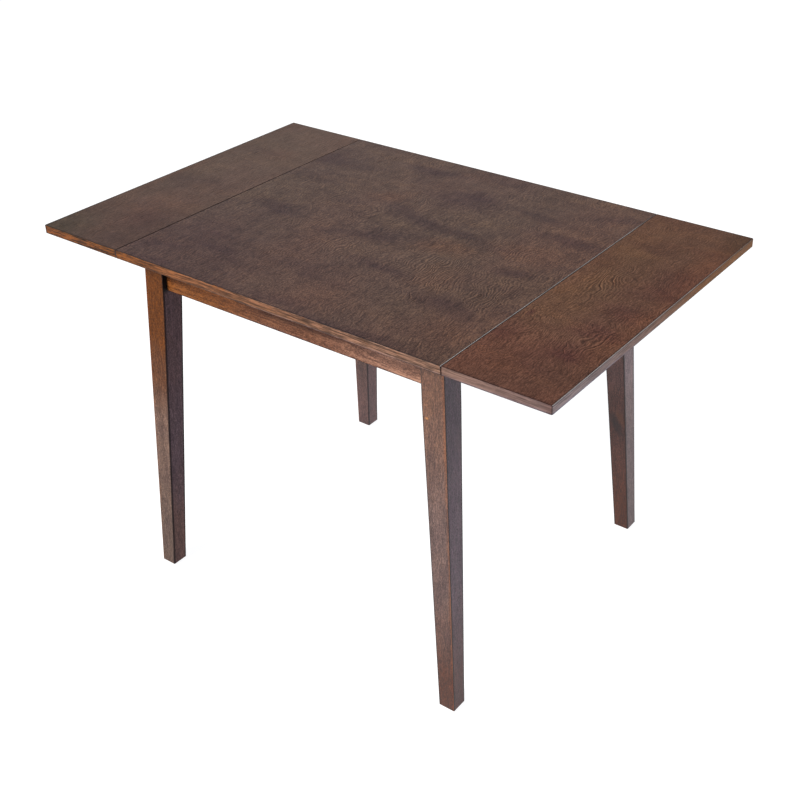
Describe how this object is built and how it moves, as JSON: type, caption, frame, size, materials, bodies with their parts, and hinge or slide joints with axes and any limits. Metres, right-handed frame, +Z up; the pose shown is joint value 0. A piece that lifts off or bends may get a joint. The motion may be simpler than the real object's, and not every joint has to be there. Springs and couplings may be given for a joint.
{
  "type": "butterfly folding table",
  "caption": "Wooden dining table with slightly splayed, tapered legs, a fixed centre board and end leaves that fold down on seam hinges, held level by slotted folding stays.",
  "frame": {"origin": "on the floor, under the middle of the top", "axes": "+X along the table's length towards the right leaf, +Y to the back, +Z up"},
  "size_m": [1.1646, 0.726, 0.75],
  "materials": {
    "top_wood": "satin dark walnut stain, cloudy",
    "leaf_wood": "satin dark walnut stain, slightly redder",
    "leg_wood": "satin walnut stain",
    "apron_wood": "satin walnut stain",
    "inner_wood": "bare sawn wood",
    "glide_plastic": "matte nylon",
    "hinge_steel": "zinc-plated steel",
    "stay_steel": "zinc-plated steel",
    "bracket_steel": "zinc-plated steel",
    "pin_steel": "turned steel",
    "screw_steel": "yellow zinc-plated steel"
  },
  "bodies": {
    "frame": {"apron_back": "apron_wood", "apron_front": "apron_wood", "apron_left": "apron_wood", "apron_right": "apron_wood", "centre_top": "top_wood", "corner_block_back_left": "inner_wood", "corner_block_back_right": "inner_wood", "corner_block_front_left": "inner_wood", "corner_block_front_right": "inner_wood", "corner_block_screws": "screw_steel", "cross_rail": "inner_wood", "fixing_bracket_screws": "screw_steel", "fixing_brackets": "bracket_steel", "foot_glides": "glide_plastic", "hinge_frame_plate_left_back": "hinge_steel", "hinge_frame_plate_left_front": "hinge_steel", "hinge_frame_plate_left_middle": "hinge_steel", "hinge_frame_plate_right_back": "hinge_steel", "hinge_frame_plate_right_front": "hinge_steel", "hinge_frame_plate_right_middle": "hinge_steel", "hinge_pins": "pin_steel", "hinge_screws_frame": "screw_steel", "leg_back_left": "leg_wood", "leg_back_right": "leg_wood", "leg_bolt_nuts": "screw_steel", "leg_bolt_washers": "screw_steel", "leg_front_left": "leg_wood", "leg_front_right": "leg_wood", "leg_hanger_bolts": "screw_steel", "stay_bracket_left_back": "stay_steel", "stay_bracket_left_front": "stay_steel", "stay_bracket_right_back": "stay_steel", "stay_bracket_right_front": "stay_steel", "stay_bracket_screws": "screw_steel", "stay_slide_studs": "pin_steel"},
    "leaf_right_body": {"hinge_leaf_plate_right_back": "hinge_steel", "hinge_leaf_plate_right_front": "hinge_steel", "hinge_leaf_plate_right_middle": "hinge_steel", "hinge_screws_leaf_right": "screw_steel", "leaf_right": "leaf_wood", "stay_leaf_bracket_right_back": "stay_steel", "stay_leaf_bracket_right_front": "stay_steel", "stay_leaf_screws_right": "screw_steel", "stay_pivot_pins_right": "pin_steel"},
    "leaf_left_body": {"hinge_leaf_plate_left_back": "hinge_steel", "hinge_leaf_plate_left_front": "hinge_steel", "hinge_leaf_plate_left_middle": "hinge_steel", "hinge_screws_leaf_left": "screw_steel", "leaf_left": "leaf_wood", "stay_leaf_bracket_left_back": "stay_steel", "stay_leaf_bracket_left_front": "stay_steel", "stay_leaf_screws_left": "screw_steel", "stay_pivot_pins_left": "pin_steel"},
    "stay_arm_left_back": {"stay_arm_left_back": "stay_steel"},
    "stay_arm_left_front": {"stay_arm_left_front": "stay_steel"},
    "stay_arm_right_back": {"stay_arm_right_back": "stay_steel"},
    "stay_arm_right_front": {"stay_arm_right_front": "stay_steel"}
  },
  "joints": [
    {"name": "leaf_right_fold", "type": "hinge", "parent": "frame", "child": "leaf_right_body", "pos_m": [0.3774, 0, 0.729], "axis": [0, 1, 0], "range_deg": [0, 90]},
    {"name": "stay_right_front_swing", "type": "hinge", "parent": "leaf_right_body", "child": "stay_arm_right_front", "pos_m": [0.46599, -0.19, 0.719], "axis": [0, 1, 0], "range_deg": [-45, 0]},
    {"name": "stay_right_back_swing", "type": "hinge", "parent": "leaf_right_body", "child": "stay_arm_right_back", "pos_m": [0.46599, 0.19, 0.719], "axis": [0, 1, 0], "range_deg": [-45, 0]},
    {"name": "leaf_left_fold", "type": "hinge", "parent": "frame", "child": "leaf_left_body", "pos_m": [-0.3774, 0, 0.729], "axis": [0, -1, 0], "range_deg": [0, 90]},
    {"name": "stay_left_front_swing", "type": "hinge", "parent": "leaf_left_body", "child": "stay_arm_left_front", "pos_m": [-0.46599, -0.19, 0.719], "axis": [0, -1, 0], "range_deg": [-45, 0]},
    {"name": "stay_left_back_swing", "type": "hinge", "parent": "leaf_left_body", "child": "stay_arm_left_back", "pos_m": [-0.46599, 0.19, 0.719], "axis": [0, -1, 0], "range_deg": [-45, 0]}
  ],
  "couplings": [
    {"joint": "stay_right_front_swing", "follows": "leaf_right_fold", "ratio": -0.5},
    {"joint": "stay_right_back_swing", "follows": "leaf_right_fold", "ratio": -0.5},
    {"joint": "stay_left_front_swing", "follows": "leaf_left_fold", "ratio": -0.5},
    {"joint": "stay_left_back_swing", "follows": "leaf_left_fold", "ratio": -0.5}
  ]
}
